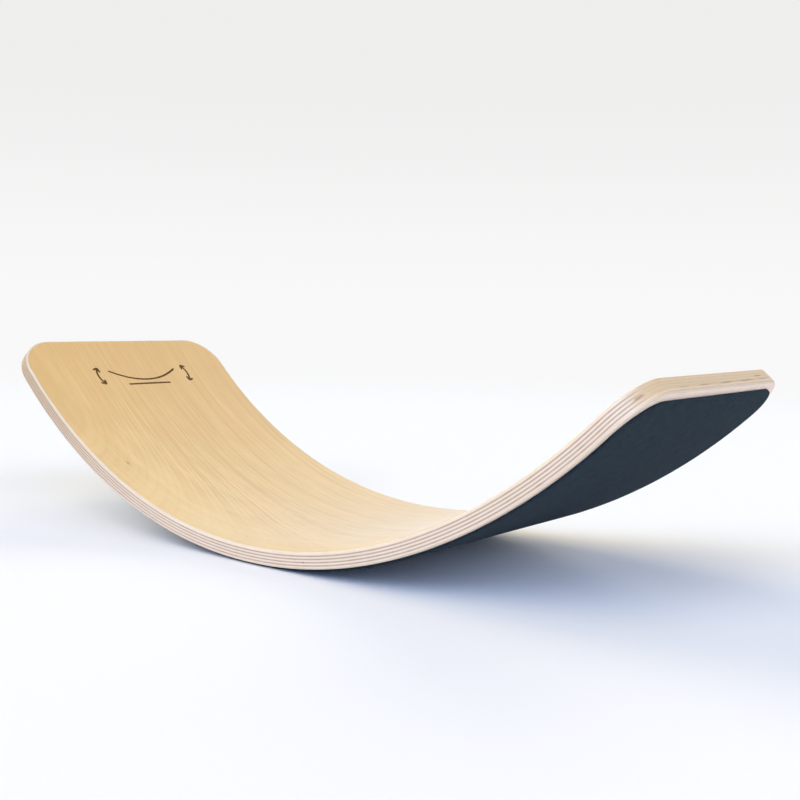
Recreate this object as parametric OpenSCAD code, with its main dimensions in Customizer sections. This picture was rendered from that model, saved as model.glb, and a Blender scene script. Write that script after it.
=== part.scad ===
// Curved balance board: a strip of beech plywood pressed to the shape of a
// rocker, cut with round corners, with a felt underlay glued under it. The
// strip is 11 veneers, each a solid of its own, and nothing moves against
// anything else: the whole board rocks on the floor.
//
// X runs along the board, Y across it, Z up. The origin is on the floor, in
// the middle of the line that the felt touches. Heights through the board are
// measured square to the plywood's underside, upwards.

/* [Board] */
// Width of the board
board_w = 300; // [240:5:360]
// Radius of the round corners, seen square to the surface
corner_r = 45; // [15:1:90]

/* [Curve] */
// Radius of the plywood's underside in the middle of the board
middle_r = 520; // [450:10:700]
// Angle from the lowest line to where the flatter ends begin
middle_angle = 24; // [16:0.5:28]
// Radius of the plywood's underside towards the ends
wing_r = 580; // [450:10:900]
// Angle that each end turns through
wing_angle = 24.5; // [16:0.5:28]

/* [Veneers] */
// Thickness of one veneer with its glue line
veneer_t = 1.5; // [1.2:0.1:1.8]

/* [Felt] */
// Thickness of the felt
felt_t = 2.3; // [1.5:0.1:4]
// Thickness of the adhesive film that holds the felt
film_t = 0.2; // [0.1:0.1:0.4]
// How far the felt stays back from the board's ends
felt_end_gap = 10; // [4:1:25]
// How far the felt stays back from the board's long sides
felt_side_gap = 6; // [3:1:20]
// Radius of the felt's corners
felt_corner_r = 38; // [10:1:80]
// How far the adhesive film stays back from the felt's edge
film_gap = 1; // [0.5:0.5:3]

/* [Hidden] */
$fn = 360;
VENEERS = 11;
// How far cutting shapes reach past what they cut
margin = 5;
// Angle by which the side view's halves run into each other, and by which it
// runs past the ends before they are cut
overrun = 4;
// Longer than the board from end to end
cutter_span = middle_r + wing_r;
board_t = VENEERS * veneer_t;
board_reach = middle_angle + wing_angle;
// Height of the middle curve's centre above the floor
centre_z = middle_r + film_t + felt_t;

long_grain = [0.89, 0.77, 0.60];
cross_grain = [0.72, 0.60, 0.50];
glue_film = [0.80, 0.78, 0.70];
felt_blue = [0.16, 0.21, 0.26];

// Direction at an angle from straight down, towards the right
function ray(angle) = [sin(angle), -cos(angle)];

// Angle on an end curve that a length along the underside turns through
function wing_turn(length) = length / wing_r * 180 / PI;

// Place in the side view of the plywood's underside, at an angle on the right
// end curve
function wing_foot(angle) =
    [0, centre_z] + (middle_r - wing_r) * ray(middle_angle) + wing_r * ray(angle);

// Band between two radii and two angles, around its own centre
module arc_band(outer_r, inner_r, from_angle, to_angle) {
    intersection() {
        difference() {
            circle(outer_r);
            circle(inner_r);
        }
        polygon([
            [0, 0],
            2 * outer_r * ray(from_angle),
            2 * outer_r * ray((from_angle + to_angle) / 2),
            2 * outer_r * ray(to_angle)
        ]);
    }
}

// Right half of a layer's side view, around the middle curve's centre. The two
// curves are tangent where they meet
module half_side_view(low, high) {
    rotate(middle_angle) {
        arc_band(middle_r - low, middle_r - high, -middle_angle - overrun, 0);
        translate([0, wing_r - middle_r])
            arc_band(wing_r - low, wing_r - high, 0, wing_angle + overrun);
    }
}

// Plan that the right end is cut to, square to the surface there. The end lies
// on the Y axis, with a round corner at each side, and the long sides run on
// past the rest of the board
module end_plan(half_w, radius) {
    translate([-cutter_span, -half_w])
        square([cutter_span - radius, 2 * half_w]);
    translate([-2 * radius, radius - half_w])
        square([2 * radius, 2 * (half_w - radius)]);
    for (side = [-1, 1])
        translate([-radius, side * (half_w - radius)])
            circle(radius);
}

// Everything inside the right end's plan, standing square to the end's surface
module end_prism(reach, half_w, radius) {
    foot = wing_foot(reach);
    translate([foot.x, 0, foot.y])
        rotate([0, -reach, 0])
            translate([0, 0, -2 * margin])
                linear_extrude(cutter_span)
                    end_plan(half_w, radius);
}

// One bent layer with round corners, between two heights, kept back from the
// board's ends and long sides
module layer(low, high, end_gap, side_gap, radius) {
    reach = board_reach - wing_turn(end_gap);
    half_w = board_w / 2 - side_gap;
    intersection() {
        translate([0, 0, centre_z])
            rotate([90, 0, 0])
                linear_extrude(board_w + margin, center = true)
                    for (side = [0, 1])
                        mirror([side, 0])
                            half_side_view(low, high);
        end_prism(reach, half_w, radius);
        mirror([1, 0, 0])
            end_prism(reach, half_w, radius);
    }
}

// The veneer at a place in the stack, counted down from the top face
module veneer(place) {
    top = board_t - (place - 1) * veneer_t;
    layer(top - veneer_t, top, 0, 0, corner_r);
}

// Beech veneer that the user stands on, grain along the board
module top_face_veneer() {
    color(long_grain) veneer(1);
}

module long_grain_veneer_2() {
    color(long_grain) veneer(2);
}

module cross_grain_veneer_3() {
    color(cross_grain) veneer(3);
}

module long_grain_veneer_4() {
    color(long_grain) veneer(4);
}

module cross_grain_veneer_5() {
    color(cross_grain) veneer(5);
}

module long_grain_veneer_6() {
    color(long_grain) veneer(6);
}

module cross_grain_veneer_7() {
    color(cross_grain) veneer(7);
}

module long_grain_veneer_8() {
    color(long_grain) veneer(8);
}

module cross_grain_veneer_9() {
    color(cross_grain) veneer(9);
}

module long_grain_veneer_10() {
    color(long_grain) veneer(10);
}

// Beech veneer that the felt is glued to, grain along the board
module bottom_face_veneer() {
    color(long_grain) veneer(11);
}

// Film of adhesive between the plywood and the felt
module felt_adhesive() {
    color(glue_film)
        layer(-film_t, 0, felt_end_gap + film_gap, felt_side_gap + film_gap,
              felt_corner_r - film_gap);
}

// Felt that the board rocks on
module felt_underlay() {
    color(felt_blue)
        layer(-film_t - felt_t, -film_t, felt_end_gap, felt_side_gap, felt_corner_r);
}

top_face_veneer();
long_grain_veneer_2();
cross_grain_veneer_3();
long_grain_veneer_4();
cross_grain_veneer_5();
long_grain_veneer_6();
cross_grain_veneer_7();
long_grain_veneer_8();
cross_grain_veneer_9();
long_grain_veneer_10();
bottom_face_veneer();
felt_adhesive();
felt_underlay();
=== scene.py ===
import math

import bpy
import numpy as np
from mathutils import Matrix, Vector, noise


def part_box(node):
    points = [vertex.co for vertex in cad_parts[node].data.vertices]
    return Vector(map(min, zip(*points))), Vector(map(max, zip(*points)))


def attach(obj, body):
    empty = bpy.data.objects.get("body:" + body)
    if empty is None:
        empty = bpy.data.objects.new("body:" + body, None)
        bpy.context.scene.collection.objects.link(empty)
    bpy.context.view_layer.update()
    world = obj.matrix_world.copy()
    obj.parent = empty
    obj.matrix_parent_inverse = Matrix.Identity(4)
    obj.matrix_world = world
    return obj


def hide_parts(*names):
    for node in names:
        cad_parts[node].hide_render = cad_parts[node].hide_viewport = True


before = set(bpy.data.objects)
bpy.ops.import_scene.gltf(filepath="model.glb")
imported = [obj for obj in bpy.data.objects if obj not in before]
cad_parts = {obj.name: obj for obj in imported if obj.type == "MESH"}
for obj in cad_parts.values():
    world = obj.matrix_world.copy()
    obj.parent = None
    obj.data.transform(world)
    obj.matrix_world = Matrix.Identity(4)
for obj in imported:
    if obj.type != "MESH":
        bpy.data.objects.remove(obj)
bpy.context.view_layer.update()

# ---------------------------------------------------------------- sizes, in metres
MM = 0.001
VENEER_T = 1.5 * MM
VENEERS = 11
BOARD_T = VENEERS * VENEER_T
HALF_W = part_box("top_face_veneer")[1].y
CORNER_R = 45 * MM
MIDDLE_R = 520 * MM
WING_R = 580 * MM
MIDDLE_ANGLE = math.radians(24)
WING_ANGLE = math.radians(24.5)
FELT_T = 2.3 * MM
FILM_T = 0.2 * MM
FELT_END_GAP = 10 * MM
FELT_SIDE_GAP = 6 * MM
FELT_CORNER_R = 38 * MM
FILM_GAP = 1 * MM
EDGE_R = 2.5 * MM

# the curve seen from the side: a middle arc, and a wing arc that runs on from it at each end
MIDDLE_Z = MIDDLE_R + FILM_T + FELT_T
JOINT = MIDDLE_R * MIDDLE_ANGLE
HALF_L = JOINT + WING_R * WING_ANGLE
WING_X = -(WING_R - MIDDLE_R) * math.sin(MIDDLE_ANGLE)
WING_Z = MIDDLE_Z + (WING_R - MIDDLE_R) * math.cos(MIDDLE_ANGLE)

# the mesh: columns of points along the board, points round an edge, the width of the outermost row of
# faces, and the least angle between two faces that leaves a sharp line
STRAIGHT_COLUMNS = 150
CORNER_COLUMNS = 14
EDGE_POINTS = 14
HEM = 0.8 * MM
SHARP = math.radians(40)


# ---------------------------------------------------------------- from the flat blank to the pressed board
def press(flat):
    """Points of the flat blank, bent to the board's curve. A point is (along, across, height above the
    plywood's underside)."""
    along, across, height = np.moveaxis(np.asarray(flat, float), -1, 0)
    wing = np.abs(along) > JOINT
    turn = np.where(wing, MIDDLE_ANGLE + (np.abs(along) - JOINT) / WING_R, np.abs(along) / MIDDLE_R)
    radius = np.where(wing, WING_R, MIDDLE_R) - height
    x = np.where(wing, WING_X, 0.0) + radius * np.sin(turn)
    z = np.where(wing, WING_Z, MIDDLE_Z) - radius * np.cos(turn)
    return np.stack([np.copysign(x, along), across, z], -1)


def lay_flat(points):
    """The reverse of press. It also gives the unit vector along the board at each point."""
    x, across, z = np.asarray(points, float).T
    turn = np.arctan2(np.abs(x), MIDDLE_Z - z)
    radius = np.hypot(x, MIDDLE_Z - z)
    wing = turn > MIDDLE_ANGLE
    wing_turn = np.arctan2(np.abs(x) - WING_X, WING_Z - z)
    wing_radius = np.hypot(np.abs(x) - WING_X, WING_Z - z)
    along = np.where(wing, JOINT + (wing_turn - MIDDLE_ANGLE) * WING_R, turn * MIDDLE_R)
    height = np.where(wing, WING_R - wing_radius, MIDDLE_R - radius)
    turn = np.where(wing, wing_turn, turn)
    way = np.stack([np.cos(turn), np.zeros_like(turn), np.sin(turn) * np.where(x < 0, -1, 1)], -1)
    return np.stack([np.copysign(along, x), across, height], -1), way


# ---------------------------------------------------------------- meshes
def columns(half_l, half_w, corner_r, inset):
    """Places along the blank and the half-width at each. The outline has round corners and is moved in by
    inset."""
    corner = np.linspace(math.pi / 2, 0, CORNER_COLUMNS + 1)
    corner_along = half_l - corner_r + (corner_r - inset) * np.sin(corner)
    corner_half = half_w - corner_r + (corner_r - inset) * np.cos(corner)
    straight = np.linspace(-(half_l - corner_r), half_l - corner_r, STRAIGHT_COLUMNS + 1)[1:-1]
    along = np.concatenate([-corner_along, straight, corner_along[::-1]])
    half = np.concatenate([corner_half, np.full(len(straight), half_w - inset), corner_half[::-1]])
    return along, half


def grid(outline, height, inset, rows):
    """A sheet of points over the outline at one height: columns along the blank, rows across it."""
    along, half = columns(*outline, inset)
    inner = np.linspace(-1, 1, rows)[None, :] * (half - HEM)[:, None]
    across = np.concatenate([-half[:, None], inner, half[:, None]], 1)
    along = np.repeat(along[:, None], across.shape[1], 1)
    return np.stack([along, across, np.full_like(across, height)], -1)


def closed_mesh(name, outline, profile, rows):
    """A closed sheet. profile lists (height, inset) down its edge, from its upper face's rim to its lower
    face's."""
    grids = [grid(outline, height, inset, rows) for height, inset in profile]
    n, m = grids[0].shape[:2]
    rim = (
        [(k, 0) for k in range(n)]
        + [(n - 1, j) for j in range(1, m)]
        + [(k, m - 1) for k in range(n - 2, -1, -1)]
        + [(0, j) for j in range(m - 2, 0, -1)]
    )
    columns_of, rows_of = np.array(rim).T
    points = [grids[0].reshape(-1, 3)]
    points += [g[columns_of, rows_of] for g in grids[1:-1]]
    points.append(grids[-1].reshape(-1, 3))
    starts = np.cumsum([0] + [len(p) for p in points])
    rim_ids = columns_of * m + rows_of
    rings = [rim_ids]
    rings += [starts[i] + np.arange(len(rim)) for i in range(1, len(points) - 1)]
    rings.append(starts[-2] + rim_ids)

    k, j = np.meshgrid(np.arange(n - 1), np.arange(m - 1), indexing="ij")
    corner = (k * m + j).ravel()
    cap = np.stack([corner, corner + m, corner + m + 1, corner + 1], 1)
    faces = [cap, cap[:, ::-1] + starts[-2]]
    for upper, lower in zip(rings, rings[1:]):
        faces.append(np.stack([upper, lower, np.roll(lower, -1), np.roll(upper, -1)], 1))
    mesh = bpy.data.meshes.new(name)
    mesh.from_pydata(np.concatenate(points).tolist(), [], np.concatenate(faces).tolist())
    edge_faces = sum(len(f) for f in faces[2:])
    is_edge = np.zeros(len(mesh.polygons), np.int32)
    is_edge[-edge_faces:] = 1
    mesh.polygons.foreach_set("material_index", is_edge)
    piece = bpy.data.objects.new(name, mesh)
    bpy.context.scene.collection.objects.link(piece)
    return piece


def coordinates(mesh):
    found = np.empty(len(mesh.vertices) * 3, np.float32)
    mesh.vertices.foreach_get("co", found)
    return found.reshape(-1, 3).astype(float)


def bend(piece):
    """Presses a flat piece to the board's curve."""
    piece.data.vertices.foreach_set("co", press(coordinates(piece.data)).astype(np.float32).ravel())
    piece.data.update()


SHIFT_PER_SHEET = 1.37
SHIFT_ACROSS = 0.618


def mark_fibres(piece, cross=False, base=0.0, shift=0.0):
    """Writes on each point its place on the blank, its place in the wood and the direction of the fibres
    there. The place in the wood is (along the fibres, across them, above base). shift gives each sheet
    its own part of the log."""
    mesh = piece.data
    blank, way = lay_flat(coordinates(mesh))
    fibre = blank + [shift, shift * SHIFT_ACROSS, -base]
    if cross:
        fibre = fibre[:, [1, 0, 2]]
        way = np.repeat([[0.0, 1.0, 0.0]], len(way), 0)
    for label, values in (("blank", blank), ("fibre", fibre), ("fibre_way", way)):
        attribute = mesh.attributes.new(label, "FLOAT_VECTOR", "POINT")
        attribute.data.foreach_set("vector", values.astype(np.float32).ravel())


def finish_piece(piece, node, looks):
    """Gives smooth shading with sharp corners, the materials and the body, and hides the CAD part it stands
    for."""
    mesh = piece.data
    mesh.shade_smooth()
    mesh.set_sharp_from_angle(angle=SHARP)
    for look in looks:
        mesh.materials.append(look)
    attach(piece, "root")
    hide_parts(node)


# ---------------------------------------------------------------- materials
# How fine the patterns are, in features to a metre. In the wood that is along the fibres, across them and
# through the sheet. In the figure of a face it is along the board and across it.
FIBRES = (14.0, 1500.0, 1500.0)
SILK = (7.0, 210.0, 210.0)
FLECKS = (240.0, 2100.0, 2100.0)
SHEET_CLOUDS = (9.0, 60.0, 60.0)
VESSELS = (0.0, 2600.0, 2600.0)
END_LAYERS = (0.0, 60.0, 1500.0)
END_BLOTCHES = (0.0, 120.0, 500.0)
GLUE_BREAKS = (70.0, 70.0, 0.0)
SPOT_EDGE = (700.0, 700.0, 700.0)
RING_WANDER = (2.6, 3.0, 0.0)
RING_RIPPLE = (9.0, 55.0, 0.0)
RING_REACH = (3.5, 6.0, 0.0)
RING_DASHES = (16.0, 300.0, 0.0)
EARLY_LINES = 170.0
BROAD_BANDS = 38.0
FACE_STREAKS = (4.5, 75.0, 0.0)
FACE_CLOUDS = (16.0, 34.0, 0.0)
FACE_CASTS = (9.0, 42.0, 0.0)
SCORCH_STREAKS = (160.0, 1600.0, 1600.0)
SOOT = (260.0, 260.0, 900.0)
FELT_CLUMPS = (230.0, 230.0, 230.0)
FELT_FIBRES = (1500.0, 1500.0, 1500.0)
FELT_STRANDS = (320.0, 1900.0, 1900.0)
FELT_CROSS_STRANDS = (1900.0, 380.0, 1900.0)
FELT_PATCHES = (34.0, 46.0, 46.0)
FILM_BLOTCHES = (90.0, 90.0, 90.0)

# Some patterns show only where their noise is high: they start over the first value and are full over the
# second. LATE_OVER is the same for a sine, and ACROSS_FIBRES for how squarely a surface cuts the fibres.
EARLY_OVER = (0.50, 0.66)
LATE_OVER = (0.1, 0.95)
DASHES_OVER = (0.40, 0.62)
CASTS_OVER = (0.40, 0.62)
FLECKS_OVER = (0.66, 0.74)
GLUE_OVER = (0.42, 0.66)
PATCHES_OVER = (0.45, 0.70)
HAIRS_OVER = (0.60, 0.78)
ACROSS_FIBRES = (0.45, 0.9)

# The tone of the wood is a mean plus each pattern times its weight. The colour goes from pale to dark
# between the two tones of a pair. The ring lines of a face grow stronger between the two places across the
# board, and weaker between the two places along it.
MEAN_TONE = 0.35
FIBRES_TONE = 0.55
SILK_TONE = 0.30
FLECKS_TONE = 0.22
CLOUDS_TONE = 0.60
STREAKS_TONE = 0.55
BANDS_TONE = 0.36
EARLY_TONE = 0.30
LATE_TONE = 0.48
LINES_MEAN = 0.15
# painted shade: how much darker the tone is made towards the left end, where the light falls off
LEFT_SHADE_TONE = 0.52
PALE_TO_DARK = (-0.15, 1.0)
END_PALE_TO_DARK = (0.25, 1.10)
LINES_GROW_ACROSS = (-0.11, -0.03)
LINES_FADE_ALONG = (0.0, 0.35)

# The growth rings of the face veneers arch round a heart that lies deep under the near left corner, so
# they stand wider apart near it, and they run almost straight again towards the right end. Noise shifts
# them within WANDER_BY and RIPPLE_BY across the board and within REACH_BY along it, and their phase within
# BANDS_BEND radians.
HEART_ALONG = -0.38
HEART_ACROSS = -0.15
HEART_DEPTH = 0.10
ARCH_REACH = 0.20
ARCH_CURVE = 1.8
RING_SPACING = 3.6 * MM
WANDER_BY = 0.020
RIPPLE_BY = 0.0024
REACH_BY = 0.022
BANDS_BEND = 10.0

# painted shade: the wood is made a little darker from here to the left end, where the light falls off, and
# the edges are multiplied by the next value there
SHADE_FROM = -0.10
EDGE_LEFT_SHADE = (0.80, 0.75, 0.66)

# parts of the face veneers are multiplied by this
GREEN_CAST = (0.975, 1.0, 0.985, 1.0)

# a spot's edge is ragged within this share of its half-lengths, and it shows from the first of these shares
# of them inwards, and fully inside the second
SPOT_RAGGED = 0.8
SPOT_FADE = (1.25, 0.45)

# the glue lines on the edges: colour, half-thickness, where they are at full strength, that strength, and
# how much of it they lose at the board's ends
GLUE = (0.30, 0.17, 0.09, 1.0)
GLUE_HALF = 0.12 * MM
GLUE_CORE = 0.02 * MM
GLUE_STRENGTH = 0.45
GLUE_FADE = 0.28

# each wood's colours: (pale, dark) along the grain, and (pale, dark) on end grain
WOODS = {
    "top_veneer_face": (
        ((0.860, 0.580, 0.214), (0.672, 0.385, 0.116)),
        ((0.70, 0.52, 0.34), (0.45, 0.29, 0.15)),
    ),
    "under_veneer_face": (
        ((0.95, 0.745, 0.595), (0.80, 0.58, 0.44)),
        ((0.47, 0.33, 0.20), (0.36, 0.24, 0.14)),
    ),
    # painted highlight: the rim's end grain is paler than the other edges' to stand in for the highlight
    # along the board's top edge
    "top_veneer_rim": (
        ((0.74, 0.61, 0.43), (0.65, 0.51, 0.34)),
        ((0.72, 0.57, 0.40), (0.60, 0.45, 0.29)),
    ),
    "long_grain_edge": (
        ((0.745, 0.60, 0.44), (0.635, 0.485, 0.333)),
        ((0.655, 0.456, 0.263), (0.503, 0.344, 0.181)),
    ),
    "low_grain_edge": (
        ((0.745, 0.60, 0.44), (0.635, 0.485, 0.333)),
        ((0.75, 0.557, 0.37), (0.576, 0.42, 0.255)),
    ),
    "cross_grain_edge": (
        ((0.65, 0.462, 0.266), (0.53, 0.36, 0.198)),
        ((0.55, 0.40, 0.29), (0.29, 0.195, 0.135)),
    ),
}

SCORCH_DARK = (0.072, 0.030, 0.008)
SCORCH_PALE = (0.180, 0.088, 0.028)
FELT_DARK = (0.0078, 0.0140, 0.0195)
FELT_PALE = (0.0225, 0.0350, 0.0430)
FELT_GREENER = (0.013, 0.032, 0.031, 1.0)
FELT_HAIR = (0.060, 0.082, 0.092, 1.0)
FELT_SHEEN = (0.55, 0.68, 0.85, 1.0)
FILM_DARK = (0.30, 0.24, 0.16)
FILM_PALE = (0.42, 0.35, 0.25)


class Look:
    """A material that is wired up one node to a call."""

    def __init__(self, name):
        self.material = bpy.data.materials.new(name)
        self.material.use_nodes = True
        self.tree = self.material.node_tree
        self.tree.nodes.clear()

    def node(self, kind, inputs, **settings):
        made = self.tree.nodes.new("ShaderNode" + kind)
        for key, value in settings.items():
            setattr(made, key, value)
        for key, value in inputs.items():
            if isinstance(value, bpy.types.NodeSocket):
                self.tree.links.new(value, made.inputs[key])
            else:
                made.inputs[key].default_value = value
        return made

    def math(self, operation, a, b=0.0, c=0.0):
        return self.node("Math", {0: a, 1: b, 2: c}, operation=operation).outputs[0]

    def add(self, a, b):
        return self.math("ADD", a, b)

    def times(self, a, b):
        return self.math("MULTIPLY", a, b)

    def weigh(self, value, weight, base):
        """base plus weight times value."""
        return self.math("MULTIPLY_ADD", value, weight, base)

    def sway(self, value, weight, base):
        """base plus weight times value, where value is noise about 0.5, so that base stays the mean."""
        return self.weigh(self.math("SUBTRACT", value, 0.5), weight, base)

    def attribute(self, label):
        return self.node("Attribute", {}, attribute_name=label).outputs["Vector"]

    def axes(self, vector):
        return self.node("SeparateXYZ", {0: vector}).outputs

    def length(self, vector):
        return self.node("VectorMath", {0: vector}, operation="LENGTH").outputs["Value"]

    def scaled(self, vector, scale, move=(0.0, 0.0, 0.0)):
        return self.node("Mapping", {"Vector": vector, "Scale": scale, "Location": move}).outputs[0]

    def noise(self, place, scale, detail=2.0, roughness=0.5, distortion=0.0):
        inputs = {"Vector": self.scaled(place, scale), "Scale": 1.0}
        inputs.update({"Detail": detail, "Roughness": roughness, "Distortion": distortion})
        return self.node("TexNoise", inputs).outputs["Fac"]

    def noise_line(self, value, scale, detail, roughness):
        inputs = {"W": self.times(value, scale), "Scale": 1.0, "Detail": detail, "Roughness": roughness}
        return self.node("TexNoise", inputs, noise_dimensions="1D").outputs["Fac"]

    def step(self, value, low, high):
        """0 below low and 1 above high, smoothly between. low may be the greater, to turn it round."""
        inputs = {"Value": value, "From Min": low, "From Max": high}
        return self.node("MapRange", inputs, interpolation_type="SMOOTHSTEP").outputs[0]

    def mix(self, factor, a, b, mode="MIX"):
        return self.node("Mix", {0: factor, 6: a, 7: b}, data_type="RGBA", blend_type=mode).outputs[2]

    def tint(self, factor, a, b):
        """A colour between a and b, which are (red, green, blue)."""
        return self.mix(factor, (*a, 1.0), (*b, 1.0))

    def bump(self, height, distance):
        return self.node("Bump", {"Height": height, "Distance": distance, "Strength": 1.0}).outputs[0]

    def surface(self, **inputs):
        shader = self.node("BsdfPrincipled", {k.replace("_", " "): v for k, v in inputs.items()})
        self.node("OutputMaterial", {"Surface": shader.outputs[0]})
        return self.material


def ring_distance(look, place, along, across):
    """How far a point of a face veneer is from the heart, in metres, by the growth rings that arch round
    it."""
    wander = look.weigh(look.noise(place, RING_WANDER), WANDER_BY, -HEART_ACROSS - WANDER_BY / 2)
    ripple = look.weigh(look.noise(place, RING_RIPPLE, 3.0), RIPPLE_BY, -RIPPLE_BY / 2)
    from_heart = look.add(look.add(across, wander), ripple)
    past = look.times(look.math("SUBTRACT", along, HEART_ALONG), ARCH_CURVE)
    past = look.times(look.math("TANH", past), ARCH_REACH)
    past = look.weigh(look.noise(place, RING_REACH), REACH_BY, past)
    flat = look.add(look.math("POWER", from_heart, 2.0), look.math("POWER", past, 2.0))
    return look.math("SQRT", look.add(flat, HEART_DEPTH**2))


def figure_tone(look):
    """The figure of a face veneer, -0.5 to 0.5 or so: growth rings, and soft streaks and clouds along the
    grain. The ring lines are weaker at the near side, where the sheet cuts the rings flat, and on the
    right half."""
    place = look.attribute("blank")
    along, across, _ = look.axes(place)
    ring = ring_distance(look, place, along, across)
    early = look.step(look.noise_line(ring, EARLY_LINES, 1.0, 0.5), *EARLY_OVER)
    broad = look.noise_line(ring, BROAD_BANDS, 2.0, 0.6)
    turn = look.weigh(broad, BANDS_BEND, look.times(ring, 2 * math.pi / RING_SPACING))
    late = look.step(look.math("SINE", turn), *LATE_OVER)
    dashes = look.step(look.noise(place, RING_DASHES), *DASHES_OVER)

    lines = look.weigh(early, EARLY_TONE, look.times(late, LATE_TONE))
    lines = look.times(lines, look.weigh(dashes, 0.50, 0.50))
    lines = look.times(lines, look.weigh(look.step(across, *LINES_GROW_ACROSS), 0.78, 0.22))
    lines = look.times(lines, look.weigh(look.step(along, *LINES_FADE_ALONG), -0.40, 1.0))
    lines = look.math("SUBTRACT", lines, LINES_MEAN)
    tone = look.sway(broad, BANDS_TONE, lines)
    tone = look.sway(look.noise(place, FACE_STREAKS, 3.0, 0.6), STREAKS_TONE, tone)
    return look.sway(look.noise(place, FACE_CLOUDS, 3.0, 0.55), CLOUDS_TONE, tone)


def spot(look, colour, place, size, strength, dark):
    """Darkens the colour at one place on the blank, for a knot, a fleck or a gap. size is its three
    half-lengths."""
    blank = look.attribute("blank")
    scale = [1 / s for s in size]
    near = look.scaled(blank, scale, [-p * k for p, k in zip(place, scale)])
    off = look.sway(look.noise(blank, SPOT_EDGE), SPOT_RAGGED, look.length(near))
    return look.mix(look.times(look.step(off, *SPOT_FADE), strength), colour, (*dark, 1.0))


def glue_lines(look, colour, along, from_middle):
    """Thin, broken glue lines on the edges, where one sheet meets the next. They are fainter at the
    board's ends."""
    broken = look.step(look.noise(look.attribute("blank"), GLUE_BREAKS, 3.0, 0.7), *GLUE_OVER)
    glue = look.step(from_middle, VENEER_T / 2 - GLUE_HALF, VENEER_T / 2 - GLUE_CORE)
    at_ends = look.step(look.math("ABSOLUTE", along), HALF_L - CORNER_R, HALF_L - 0.4 * CORNER_R)
    glue = look.times(look.times(glue, broken), look.weigh(at_ends, -GLUE_FADE, GLUE_STRENGTH))
    return look.mix(glue, colour, GLUE)


def wood(name, gloss, lacquer=0.0, figure=False, core=0.0, spots=(), left=None):
    """Beech in one of the colours of WOODS. Long fibres, silk and ray flecks show along the grain, and
    vessels where a surface cuts across the fibres. core is how much paler the end grain is next to the
    glue than inside the sheet. left is what the colour is multiplied by at the board's left end, as
    painted shade where the light falls off; the tone of every wood is also painted darker there."""
    look = Look(name)
    side, end = WOODS[name]
    place = look.attribute("fibre")
    through = look.axes(place)[2]
    along = look.axes(look.attribute("blank"))[0]
    left_shade = look.step(along, SHADE_FROM, -HALF_L)

    # along the grain
    fibres = look.noise(place, FIBRES, 4.0, 0.65)
    flecks = look.step(look.noise(place, FLECKS, 1.0), *FLECKS_OVER)
    tone = look.sway(fibres, FIBRES_TONE, MEAN_TONE)
    tone = look.sway(look.noise(place, SILK, 3.0, 0.6), SILK_TONE, tone)
    tone = look.weigh(flecks, FLECKS_TONE, tone)
    # painted shade: darker towards the left end, where the light falls off
    tone = look.weigh(left_shade, LEFT_SHADE_TONE, tone)
    if figure:
        tone = look.add(tone, figure_tone(look))
    else:
        tone = look.sway(look.noise(place, SHEET_CLOUDS, 3.0), CLOUDS_TONE, tone)
    colour = look.tint(look.step(tone, *PALE_TO_DARK), *side)
    if figure:
        greener = look.step(look.noise(look.attribute("blank"), FACE_CASTS), *CASTS_OVER)
        colour = look.mix(greener, colour, GREEN_CAST, "MULTIPLY")

    # end grain
    ways = {0: look.node("NewGeometry", {}).outputs["Normal"], 1: look.attribute("fibre_way")}
    facing = look.node("VectorMath", ways, operation="DOT_PRODUCT").outputs["Value"]
    across_fibres = look.step(look.math("ABSOLUTE", facing), *ACROSS_FIBRES)
    vessels = look.noise(place, VESSELS, 2.0, 0.7)
    end_tone = look.weigh(vessels, 0.45, look.times(look.noise(place, END_LAYERS, 3.0, 0.6), 0.45))
    end_tone = look.weigh(look.noise(place, END_BLOTCHES), 0.5, end_tone)
    from_middle = look.math("ABSOLUTE", look.math("SUBTRACT", through, VENEER_T / 2))
    end_tone = look.weigh(look.step(from_middle, 0.2 * VENEER_T, 0.5 * VENEER_T), -core, end_tone)
    colour = look.mix(across_fibres, colour, look.tint(look.step(end_tone, *END_PALE_TO_DARK), *end))

    if not figure:
        colour = glue_lines(look, colour, along, from_middle)
    # painted shade: the edges are multiplied darker towards the left end, where the light falls off
    if left:
        colour = look.mix(left_shade, colour, (*left, 1.0), "MULTIPLY")
    for where, size, strength, dark in spots:
        colour = spot(look, colour, where, size, strength, dark)

    roughness = look.weigh(fibres, 0.14, gloss - 0.05)
    roughness = look.weigh(across_fibres, 0.15, roughness)
    relief = look.math("SUBTRACT", look.times(fibres, 0.6), look.times(flecks, 0.5))
    relief = look.weigh(look.times(vessels, across_fibres), 0.8, relief)
    return look.surface(
        Base_Color=colour,
        Roughness=roughness,
        Normal=look.bump(relief, 0.03 * MM),
        Specular_IOR_Level=0.5,
        Coat_Weight=lacquer,
        Coat_Roughness=0.18,
    )


def burnt_wood():
    """The scorched floor and walls of the engraved sign."""
    look = Look("engraved_wood")
    place = look.attribute("fibre")
    streaks = look.noise(place, SCORCH_STREAKS, 3.0, 0.7)
    soot = look.noise(place, SOOT)
    burn = look.step(look.add(streaks, soot), 0.70, 1.35)
    return look.surface(
        Base_Color=look.tint(burn, SCORCH_DARK, SCORCH_PALE),
        Roughness=look.weigh(streaks, 0.2, 0.65),
        Normal=look.bump(streaks, 0.08 * MM),
        Specular_IOR_Level=0.12,
    )


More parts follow.
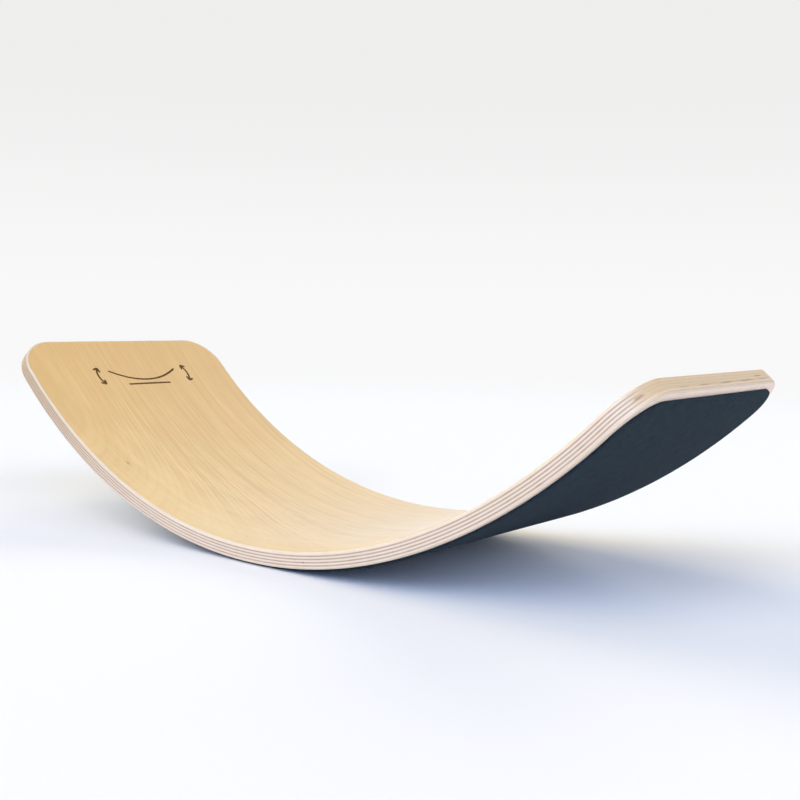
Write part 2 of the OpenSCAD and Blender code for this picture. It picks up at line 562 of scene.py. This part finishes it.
def felt_look():
    """Dense needled wool felt, slate navy, with paler stray fibres and a greener cast in patches."""
    look = Look("felt_wool")
    place = look.attribute("fibre")
    clumps = look.noise(place, FELT_CLUMPS, 4.0, 0.6, 0.8)
    fibres = look.noise(place, FELT_FIBRES, 5.0, 0.75, 2.5)
    strands = look.noise(place, FELT_STRANDS, 3.0, 0.7, 1.6)
    cross_strands = look.noise(place, FELT_CROSS_STRANDS, 3.0, 0.7, 1.6)
    patches = look.step(look.noise(place, FELT_PATCHES, 3.0, 0.6), *PATCHES_OVER)
    hairs = look.step(look.math("MAXIMUM", strands, cross_strands), *HAIRS_OVER)
    tone = look.weigh(fibres, 0.45, look.times(clumps, 0.55))
    colour = look.tint(look.step(tone, 0.28, 0.72), FELT_DARK, FELT_PALE)
    colour = look.mix(look.times(patches, 0.40), colour, FELT_GREENER)
    colour = look.mix(look.times(hairs, 0.25), colour, FELT_HAIR)
    return look.surface(
        Base_Color=colour,
        Roughness=0.95,
        Normal=look.bump(look.weigh(hairs, 0.6, tone), 0.25 * MM),
        Specular_IOR_Level=0.06,
        Sheen_Weight=0.035,
        Sheen_Roughness=0.5,
        Sheen_Tint=FELT_SHEEN,
    )


def film_look():
    """The adhesive film, dull and slightly amber, with the blotches of a rolled coat."""
    look = Look("adhesive_film")
    blotches = look.noise(look.attribute("fibre"), FILM_BLOTCHES, 3.0)
    return look.surface(
        Base_Color=look.tint(look.step(blotches, 0.3, 0.7), FILM_DARK, FILM_PALE),
        Roughness=look.weigh(blotches, 0.2, 0.4),
        Normal=look.bump(blotches, 0.05 * MM),
    )


# ---------------------------------------------------------------- the plywood
BOARD_OUTLINE = (HALF_L, HALF_W, CORNER_R)
FACE_ROWS = 15
CROSSWISE = (3, 5, 7, 9)
LEAST_GAP = 0.02 * MM
KNOT_TOP = (-0.2445, -0.1177, BOARD_T)
# the small marks in the wood, as (place on the blank, half-lengths, strength, colour): a pin knot with
# its halo, a fleck on the near side edge, and a broken dark line and some gaps on the right end
KNOT = [
    (KNOT_TOP, (9 * MM, 3.0 * MM, 3 * MM), 0.22, (0.46, 0.22, 0.07)),
    (KNOT_TOP, (2.2 * MM, 1.2 * MM, 2 * MM), 0.75, (0.30, 0.11, 0.03)),
]
SIDE_SPOT = ((0.0715, -HALF_W, 6.9 * MM), (2.6 * MM, 4 * MM, 0.55 * MM), 0.75, (0.12, 0.07, 0.04))
END_SPOTS = [
    ((HALF_L, 0.028, 4.25 * MM), (4 * MM, 88 * MM, 0.45 * MM), 0.42, (0.36, 0.22, 0.12)),
    ((HALF_L, 0.084, 8.2 * MM), (4 * MM, 9 * MM, 0.9 * MM), 0.75, (0.30, 0.16, 0.07)),
    ((HALF_L, 0.092, 4.6 * MM), (6 * MM, 13 * MM, 0.45 * MM), 0.70, (0.24, 0.13, 0.07)),
    ((HALF_L, 0.050, 4.3 * MM), (4 * MM, 17 * MM, 0.60 * MM), 0.85, (0.15, 0.08, 0.045)),
    ((HALF_L, 0.006, 4.2 * MM), (4 * MM, 15 * MM, 0.60 * MM), 0.85, (0.15, 0.08, 0.045)),
    ((HALF_L, -0.040, 4.1 * MM), (4 * MM, 13 * MM, 0.50 * MM), 0.70, (0.19, 0.11, 0.06)),
    ((HALF_L, -0.080, 4.0 * MM), (4 * MM, 12 * MM, 0.45 * MM), 0.50, (0.24, 0.14, 0.08)),
    ((0.4535, -0.136, 7.8 * MM), (5 * MM, 7 * MM, 1.3 * MM), 0.70, (0.30, 0.17, 0.06)),
]


def edge_inset(height):
    """How far the rounded edge stands in from the board's side at this height."""
    below_face = min(height, BOARD_T - height)
    if below_face >= EDGE_R:
        return 0.0
    return EDGE_R - math.sqrt(max(EDGE_R**2 - (EDGE_R - below_face) ** 2, 0.0))


def edge_profile(low, high):
    """(height, inset) down the edge of one veneer, close together where the edge is rounded."""
    turns = np.linspace(0, math.pi / 2, EDGE_POINTS)
    rounded = EDGE_R * (1 - np.cos(turns))
    both_edges = (*rounded, *(BOARD_T - rounded))
    heights = {low, high} | {h for h in both_edges if low + LEAST_GAP < h < high - LEAST_GAP}
    return [(h, edge_inset(h)) for h in sorted(heights, reverse=True)]


def veneer(place, node, looks, cross=False, carve=None):
    """One sheet of the plywood. place counts the sheets from the top."""
    high = BOARD_T - (place - 1) * VENEER_T
    low = high - VENEER_T
    rows = FACE_ROWS if place in (1, VENEERS) else 2
    piece = closed_mesh(node + "_wood", BOARD_OUTLINE, edge_profile(low, high), rows)
    bend(piece)
    if carve:
        carve(piece)
    mark_fibres(piece, cross, low, 0.0 if place == 1 else SHIFT_PER_SHEET * place)
    finish_piece(piece, node, looks)
    return piece


# ---------------------------------------------------------------- the engraved sign
# SIGN_CLEAR is how far the cutter stands above the face, and SIGN_FLOOR is the width of the cut's floor as a
# share of the stroke's. The barbs of an arrowhead lean either way from the line towards the arc's point
# number BARB_AIM. A cut face is known by its depth, which lies between the last two.
SIGN_ALONG = -0.405
SIGN_ACROSS = 0.008
SIGN_DEPTH = 0.35 * MM
SIGN_STROKE = 3.4 * MM
SIGN_CLEAR = 0.6 * MM
SIGN_FLOOR = 0.7
SIGN_POINTS = 61
ROCKER_CHORD = 104 * MM
ROCKER_RISE = 17 * MM
GROUND_LENGTH = 66 * MM
GROUND_DROP = 7.5 * MM
MOTION_OFF = 70 * MM
MOTION_R = 24 * MM
MOTION_SWEEP = math.radians(36)
ARROW = 8 * MM
ARROW_LEAN = 0.62
BARB_POINTS = 9
BARB_AIM = 6
SIGN_REACH = 30 * MM
CUT_SHALLOWEST = 0.03 * MM
CUT_DEEPEST = 0.6 * MM


def stroke(path):
    """A closed cutter that follows a path on the blank, with round ends, as (vertices, faces)."""
    path = np.asarray(path, float)
    step = np.gradient(path, axis=0)
    step /= np.linalg.norm(step, axis=1)[:, None]
    aside = np.stack([-step[:, 1], step[:, 0]], 1)
    run = np.concatenate([[0], np.cumsum(np.linalg.norm(np.diff(path, axis=0), axis=1))])
    to_end = np.minimum(run, run[-1] - run)
    round_off = np.clip(1 - to_end / (SIGN_STROKE / 2), 0, 0.98)
    half = SIGN_STROKE / 2 * np.sqrt(1 - round_off**2)
    section = [(1, SIGN_CLEAR), (-1, SIGN_CLEAR), (-SIGN_FLOOR, -SIGN_DEPTH), (SIGN_FLOOR, -SIGN_DEPTH)]
    points = []
    for (along, across), (side_along, side_across), w in zip(path, aside, half):
        for way, height in section:
            points.append((along + side_along * w * way, across + side_across * w * way, BOARD_T + height))
    faces = []
    for i in range(len(path) - 1):
        for a in range(4):
            b = (a + 1) % 4
            faces.append((4 * i + a, 4 * i + b, 4 * i + 4 + b, 4 * i + 4 + a))
    last = 4 * (len(path) - 1)
    faces += [(3, 2, 1, 0), (last, last + 1, last + 2, last + 3)]
    return points, faces


def sign_path(points, spacing=2.0 * MM):
    """Evenly spaced places on the blank for points of the sign, given as (right, up) for someone who
    reads it from the middle of the board."""
    points = np.asarray(points, float)
    run = np.concatenate([[0], np.cumsum(np.linalg.norm(np.diff(points, axis=0), axis=1))])
    ends = SIGN_STROKE / 2 * (1 - np.cos(np.linspace(0, math.pi / 2, 6)))
    steps = max(3, round(run[-1] / spacing))
    middle = np.linspace(ends[-1], run[-1] - ends[-1], steps)[1:-1]
    places = np.concatenate([ends, middle, run[-1] - ends[::-1]])
    right = np.interp(places, run, points[:, 0])
    up = np.interp(places, run, points[:, 1])
    return np.stack([SIGN_ALONG - up, SIGN_ACROSS + right], 1)


def sign_strokes():
    """A rocking board seen from the side, over the ground, with a curved two-headed arrow at each end."""
    sweep = np.linspace(-1, 1, SIGN_POINTS)
    strokes = [
        np.stack([sweep * ROCKER_CHORD / 2, ROCKER_RISE * sweep**2 - ROCKER_RISE / 2], 1),
        np.stack([sweep * GROUND_LENGTH / 2, np.full(SIGN_POINTS, -ROCKER_RISE / 2 - GROUND_DROP)], 1),
    ]
    for side in (-1, 1):
        turn = sweep * MOTION_SWEEP
        centre = MOTION_OFF - MOTION_R
        arc = np.stack([side * (centre + MOTION_R * np.cos(turn)), MOTION_R * np.sin(turn)], 1)
        strokes.append(arc)
        for tip, inward in ((arc[0], arc[BARB_AIM]), (arc[-1], arc[-1 - BARB_AIM])):
            back = (inward - tip) / np.linalg.norm(inward - tip)
            for lean in (-1, 1):
                c, s = math.cos(lean * ARROW_LEAN), math.sin(lean * ARROW_LEAN)
                barb = np.array([back[0] * c - back[1] * s, back[0] * s + back[1] * c]) * ARROW
                strokes.append(np.linspace(tip, tip + barb, BARB_POINTS))
    return [sign_path(points) for points in strokes]


def engrave(piece):
    """Cuts the sign into the top face. The cut faces, which lie under the surface, take the third
    material."""
    points, faces = [], []
    for path in sign_strokes():
        more_points, more_faces = stroke(path)
        faces += [tuple(i + len(points) for i in face) for face in more_faces]
        points += more_points
    mesh = bpy.data.meshes.new("sign_cutter")
    mesh.from_pydata(press(points).tolist(), [], faces)
    cutter = bpy.data.objects.new("sign_cutter", mesh)
    bpy.context.scene.collection.objects.link(cutter)
    cut = piece.modifiers.new("engrave", "BOOLEAN")
    cut.operation = "DIFFERENCE"
    cut.solver = "EXACT"
    cut.use_self = True
    cut.object = cutter
    evaluated = piece.evaluated_get(bpy.context.evaluated_depsgraph_get())
    carved = bpy.data.meshes.new_from_object(evaluated)
    piece.modifiers.clear()
    piece.data = carved
    bpy.data.objects.remove(cutter)
    for face in carved.polygons:
        flat, _ = lay_flat([face.center])
        along, _, height = flat[0]
        in_sign = abs(along - SIGN_ALONG) < SIGN_REACH and face.material_index != 1
        if in_sign and CUT_SHALLOWEST < BOARD_T - height < CUT_DEEPEST:
            face.material_index = 2


# ---------------------------------------------------------------- the felt
# FELT_NAP is the depth of the nap and of the ravelled edge, and their fineness is in features to a metre.
# The part within FELT_GLUED of the glue stays flat. What is within FLAT_WITHIN of the lower face isn't edge.
FELT_OUTLINE = (HALF_L - FELT_END_GAP, HALF_W - FELT_SIDE_GAP, FELT_CORNER_R)
FELT_ROWS = 70
FELT_NAP = 0.12 * MM
NAP_COARSE, NAP_FINE, RAVEL = 180, 420, 300
FELT_EDGE_R = 0.5 * MM
FELT_GLUED = 0.1 * MM
FLAT_WITHIN = 0.01 * MM
RAVEL_PLANE = 7.0


def felt_underlay(look):
    """The felt: a cut sheet with a soft edge and an uneven nap on the side that meets the floor."""
    top, bottom = -FILM_T, -FILM_T - FELT_T
    turns = np.linspace(0, math.pi / 2, 5)
    lower = [(bottom + FELT_EDGE_R * (1 - math.sin(a)), FELT_EDGE_R * (1 - math.cos(a))) for a in turns]
    profile = [(top, 0.0), (top - FELT_T * 0.4, 0.0)] + lower
    piece = closed_mesh("felt_underlay_cloth", FELT_OUTLINE, profile, FELT_ROWS)
    flat = coordinates(piece.data)
    for i, point in enumerate(flat):
        if point[2] < top - FELT_GLUED:
            p = Vector(point)
            nap = 0.6 * noise.noise(p * NAP_COARSE) + 0.4 * noise.noise(p * NAP_FINE)
            flat[i, 2] = min(point[2] + FELT_NAP * (0.5 + nap), top - FELT_GLUED)
            ravel = noise.noise(Vector((p.x * RAVEL, p.y * RAVEL, RAVEL_PLANE)))
            if point[2] > bottom + FLAT_WITHIN:
                flat[i, 1] -= math.copysign(FELT_NAP * (0.5 + ravel), point[1])
    piece.data.vertices.foreach_set("co", flat.astype(np.float32).ravel())
    bend(piece)
    mark_fibres(piece)
    finish_piece(piece, "felt_underlay", [look, look])
    return piece


def adhesive(look):
    """The film that holds the felt."""
    outline = (FELT_OUTLINE[0] - FILM_GAP, FELT_OUTLINE[1] - FILM_GAP, FELT_CORNER_R - FILM_GAP)
    piece = closed_mesh("felt_adhesive_film", outline, [(0.0, 0.0), (-FILM_T, 0.0)], 2)
    bend(piece)
    mark_fibres(piece)
    finish_piece(piece, "felt_adhesive", [look, look])
    return piece


# ---------------------------------------------------------------- stage, light and camera
FLOOR_R = 39.0
BACKDROP_R = 40.0
FADE_FROM, FADE_TO = 0.9, 3.2
HORIZON = (0.945, 0.945, 0.945)
ZENITH = (0.86, 0.86, 0.855)
FLOOR = (0.83, 0.835, 0.84, 1.0)


def disc(name, radius, sides=96):
    """A flat disc that faces up."""
    mesh = bpy.data.meshes.new(name)
    turns = np.linspace(0, 2 * math.pi, sides, endpoint=False)
    rim = [(radius * math.cos(a), radius * math.sin(a), 0.0) for a in turns]
    mesh.from_pydata(rim, [], [tuple(range(sides))])
    made = bpy.data.objects.new(name, mesh)
    bpy.context.scene.collection.objects.link(made)
    return made


def floor_look():
    """Pale paint that fades into the backdrop's colour far from the object. From below it can be seen
    through."""
    look = Look("floor_pale")
    paint = look.node("BsdfDiffuse", {"Color": FLOOR, "Roughness": 0.0}).outputs[0]
    haze = look.node("Emission", {"Color": (*HORIZON, 1.0), "Strength": 1.0}).outputs[0]
    clear = look.node("BsdfTransparent", {}).outputs[0]
    geometry = look.node("NewGeometry", {}).outputs
    away = look.step(look.length(geometry["Position"]), FADE_FROM, FADE_TO)
    far = look.node("MixShader", {0: away, 1: paint, 2: haze}).outputs[0]
    both = look.node("MixShader", {0: geometry["Backfacing"], 1: far, 2: clear}).outputs[0]
    look.node("OutputMaterial", {"Surface": both})
    return look.material


def backdrop_look():
    """A plain pale glow, a little darker high up."""
    look = Look("backdrop_pale")
    height = look.axes(look.node("NewGeometry", {}).outputs["Position"])[2]
    colour = look.tint(look.step(height, 0.0, 0.22 * BACKDROP_R), HORIZON, ZENITH)
    glow = look.node("Emission", {"Color": colour, "Strength": 1.0}).outputs[0]
    look.node("OutputMaterial", {"Surface": glow})
    return look.material


def stage():
    """A pale floor that runs into a plain pale backdrop, with no line between them."""
    floor = disc("floor", FLOOR_R)
    floor.data.materials.append(floor_look())

    bpy.ops.mesh.primitive_uv_sphere_add(segments=64, ring_count=32, radius=BACKDROP_R)
    backdrop = bpy.context.object
    backdrop.name = "backdrop"
    backdrop.data.materials.append(backdrop_look())
    backdrop.visible_diffuse = backdrop.visible_transmission = False
    backdrop.visible_shadow = backdrop.visible_volume_scatter = False


EXPOSURE = 1.05
# the studio's soft lights: the way towards each, its spread in degrees, its strength and its colour
LIGHTS = {
    "front": ((0.0, -1.0, 1.0), 50, 0.52, (1.0, 0.93, 0.70)),
    "low_front": ((0.0, -2.2, 1.0), 45, 0.54, (0.36, 0.53, 1.0)),
    "front_right": ((1.56, -1.56, 1.0), 45, 0.50, (0.41, 0.57, 1.0)),
    "right": ((2.2, 0.0, 1.0), 45, 0.38, (0.74, 0.82, 1.0)),
    "back": ((0.0, 2.2, 1.0), 45, 0.45, (1.0, 0.945, 0.84)),
    "back_left": ((-1.56, 1.56, 1.0), 45, 0.07, (0.60, 0.85, 1.0)),
    "left": ((-2.2, 0.0, 1.0), 45, 0.635, (1.0, 0.86, 0.60)),
}


def light():
    """Broad soft lights from all round: cool from low in front and from the right, warmer from the left,
    the back and high in front. The sky itself gives no light."""
    for name, (way, spread, strength, colour) in LIGHTS.items():
        data = bpy.data.lights.new(name, "SUN")
        data.energy = math.pi * EXPOSURE * strength
        data.color = colour
        data.angle = math.radians(spread)
        lamp = bpy.data.objects.new(name, data)
        lamp.rotation_euler = Vector(way).to_track_quat("Z", "Y").to_euler()
        bpy.context.scene.collection.objects.link(lamp)
    world = bpy.data.worlds.new("dark")
    world.use_nodes = True
    world.node_tree.nodes["Background"].inputs["Strength"].default_value = 0.0
    bpy.context.scene.world = world


CAMERA_AT = (0.75939, -0.88780, 0.25046)
CAMERA_YAW = -0.66496
CAMERA_PITCH = -0.08193
CAMERA_ROLL = 0.02127
CAMERA_LENS = 49.41
SENSOR = 36.0


def camera():
    """The photo's viewpoint, found together with the board's curve."""
    data = bpy.data.cameras.new("camera")
    data.sensor_width = SENSOR
    data.lens = CAMERA_LENS
    data.clip_start, data.clip_end = 0.01, 200.0
    made = bpy.data.objects.new("camera", data)
    yaw, pitch = CAMERA_YAW, CAMERA_PITCH
    ahead = Vector((math.sin(yaw) * math.cos(pitch), math.cos(yaw) * math.cos(pitch), math.sin(pitch)))
    level = Vector((math.cos(yaw), -math.sin(yaw), 0.0))
    up = level.cross(ahead)
    right = level * math.cos(CAMERA_ROLL) + up * math.sin(CAMERA_ROLL)
    up = up * math.cos(CAMERA_ROLL) - level * math.sin(CAMERA_ROLL)
    turn = Matrix((right, up, -ahead)).transposed().to_4x4()
    made.matrix_world = Matrix.Translation(CAMERA_AT) @ turn
    bpy.context.scene.collection.objects.link(made)
    bpy.context.scene.camera = made


# ---------------------------------------------------------------- the whole scene
def plywood():
    """The eleven veneers. The last but one is paler than the others at the board's ends."""
    face = wood("top_veneer_face", gloss=0.30, lacquer=1.0, figure=True, spots=KNOT)
    under = wood("under_veneer_face", gloss=0.40, figure=True)
    rim = wood("top_veneer_rim", gloss=0.36)
    # edge, low_edge and cross get painted shade at the left end
    edge = wood("long_grain_edge", gloss=0.42, spots=END_SPOTS, left=EDGE_LEFT_SHADE)
    low_edge = wood("low_grain_edge", gloss=0.42, spots=END_SPOTS, left=EDGE_LEFT_SHADE)
    cross = wood("cross_grain_edge", gloss=0.45, core=0.5, spots=[SIDE_SPOT, *END_SPOTS], left=EDGE_LEFT_SHADE)
    veneer(1, "top_face_veneer", [face, rim, burnt_wood()], carve=engrave)
    veneer(VENEERS, "bottom_face_veneer", [under, edge])
    for place in range(2, VENEERS):
        if place in CROSSWISE:
            veneer(place, f"cross_grain_veneer_{place}", [cross, cross], cross=True)
        else:
            look = low_edge if place == VENEERS - 1 else edge
            veneer(place, f"long_grain_veneer_{place}", [look, look])


def build():
    plywood()
    adhesive(film_look())
    felt_underlay(felt_look())
    stage()
    light()
    camera()
    bpy.context.scene.view_settings.view_transform = "Standard"


build()
